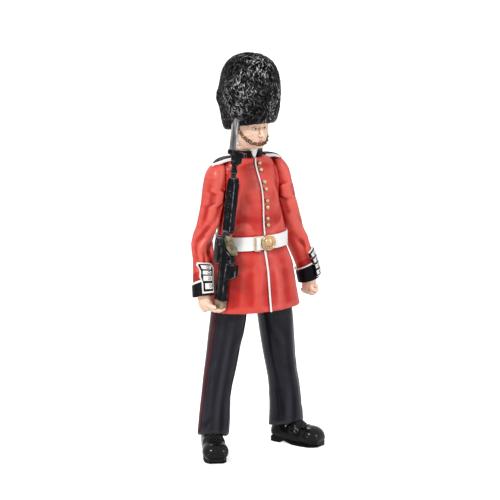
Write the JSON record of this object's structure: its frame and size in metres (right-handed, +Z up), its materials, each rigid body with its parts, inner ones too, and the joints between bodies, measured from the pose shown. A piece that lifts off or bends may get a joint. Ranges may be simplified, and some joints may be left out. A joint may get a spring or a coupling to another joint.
{
  "type": "toy soldier figure",
  "caption": "Rigid painted plastic figure of a ceremonial foot guard in a tall fur cap, standing at attention with a rifle at the right shoulder.",
  "frame": {"origin": "on the ground, below the middle of the figure's width and depth", "axes": "+Z up from the soles to the top of the cap; the figure faces -Y and its left side is +X"},
  "size_m": [0.0443, 0.0216, 0.1152],
  "materials": {
    "fur": "sculpted fur locks in semi-gloss black paint",
    "skin": "flesh paint with pinker cheeks",
    "chain_brass": "brass paint over dark",
    "black_cloth": "blue-black cloth paint",
    "white_trim": "white piping paint",
    "red_cloth": "red cloth paint with darker folds",
    "gold": "gold paint",
    "white_belt": "white belt paint",
    "dark_trousers": "near-black semi-gloss paint",
    "red_stripe": "dark red stripe paint",
    "boot_gloss": "gloss black paint",
    "sole_black": "black paint",
    "rifle_black": "satin black paint",
    "bayonet_grey": "gunmetal paint",
    "rifle_olive": "olive-brown paint",
    "butt_brown": "brown paint"
  },
  "bodies": {
    "root": {"bearskin_cap": "fur", "head": "skin", "chin_chain": "chain_brass", "collar": "black_cloth", "collar_piping": "white_trim", "tunic_body": "red_cloth", "tunic_skirt": "red_cloth", "front_piping": "white_trim", "skirt_piping": "white_trim", "tunic_buttons": "gold", "belt": "white_belt", "belt_buckle": "gold", "belt_keeper": "gold", "shoulder_strap_right": "black_cloth", "shoulder_strap_left": "black_cloth", "strap_piping_right": "white_trim", "strap_piping_left": "white_trim", "sleeve_right": "red_cloth", "sleeve_left": "red_cloth", "cuff_right": "black_cloth", "cuff_left": "black_cloth", "cuff_piping_right": "white_trim", "cuff_piping_left": "white_trim", "cuff_flap_right": "black_cloth", "cuff_flap_left": "black_cloth", "cuff_bars_right": "white_trim", "cuff_bars_left": "white_trim", "hand_right": "skin", "hand_left": "skin", "trouser_seat": "dark_trousers", "trouser_leg_right": "dark_trousers", "trouser_leg_left": "dark_trousers", "trouser_stripe_right": "red_stripe", "trouser_stripe_left": "red_stripe", "boot_right": "boot_gloss", "boot_left": "boot_gloss", "sole_right": "sole_black", "sole_left": "sole_black", "laces_right": "boot_gloss", "laces_left": "boot_gloss", "rifle_body": "rifle_black", "rifle_handguard": "rifle_black", "rifle_barrel": "rifle_black", "bayonet_hilt": "rifle_black", "bayonet": "bayonet_grey", "rifle_magazine": "rifle_black", "rifle_grip": "rifle_olive", "rifle_sight": "rifle_black", "butt_plate": "butt_brown"}
  },
  "joints": []
}
